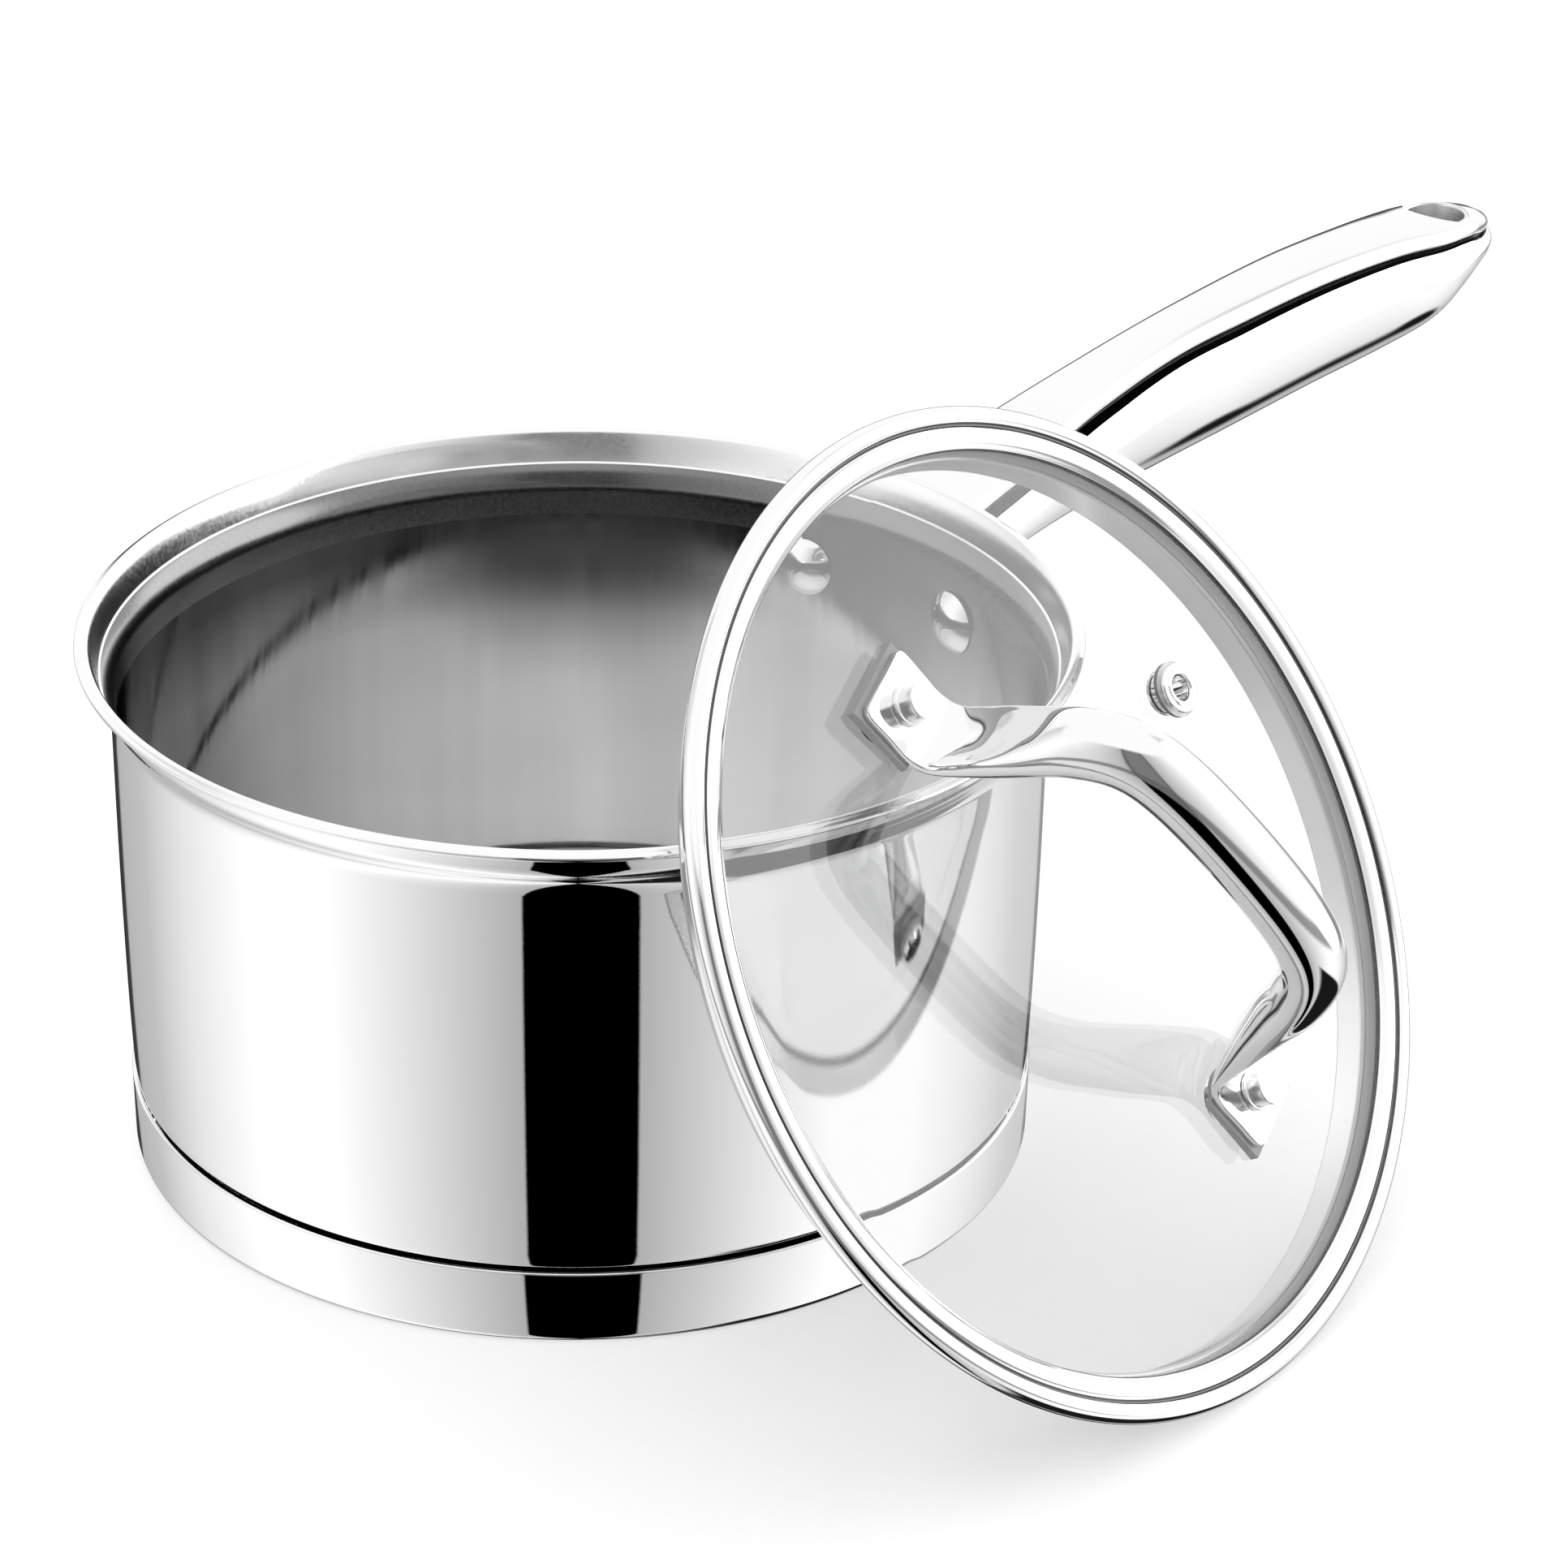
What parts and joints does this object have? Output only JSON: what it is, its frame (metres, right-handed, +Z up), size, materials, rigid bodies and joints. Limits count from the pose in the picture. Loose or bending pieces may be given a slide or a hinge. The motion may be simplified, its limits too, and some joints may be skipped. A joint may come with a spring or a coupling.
{
  "type": "saucepan with glass lid",
  "caption": "Straight-sided steel saucepan with a long hollow handle, capped base and curled rim, and a flat glass lid with a steel rim and arched handle, leaning on the pan.",
  "frame": {"origin": "centre of the pan's base, on the surface it stands on", "axes": "+X along the long handle, +Z up along the pan's axis"},
  "size_m": [0.3499, 0.2364, 0.1486],
  "materials": {
    "mirror_steel": "mirror-polished stainless steel outside, satin inside",
    "handle_steel": "mirror-polished stainless steel",
    "rim_steel": "polished stainless steel, spun",
    "rivet_steel": "polished stainless steel",
    "satin_steel": "satin stainless steel",
    "aluminium": "plain pressed aluminium",
    "glass": "clear tempered glass",
    "silicone": "translucent white silicone"
  },
  "bodies": {
    "pan": {"pan_shell": "mirror_steel", "base_core": "aluminium", "base_cap": "mirror_steel", "handle_bracket": "satin_steel", "handle_upper_shell": "handle_steel", "handle_lower_shell": "handle_steel", "hang_hole_sleeve": "satin_steel", "pan_rivet_left": "rivet_steel", "pan_rivet_right": "rivet_steel"},
    "lid": {"lid_glass": "glass", "lid_rim": "rim_steel", "lid_rim_seal": "silicone", "vent_eyelet": "rivet_steel", "vent_gasket": "silicone", "lid_handle": "handle_steel", "lid_post_upper": "satin_steel", "lid_post_lower": "satin_steel", "lid_pad_upper": "silicone", "lid_pad_lower": "silicone", "lid_washer_upper": "silicone", "lid_washer_lower": "silicone", "lid_nut_upper": "satin_steel", "lid_nut_lower": "satin_steel"}
  },
  "joints": [
    {"name": "lid_lift", "type": "slide", "parent": "pan", "child": "lid", "axis": [0, 0, 1], "range_m": [0, 0.13]}
  ]
}
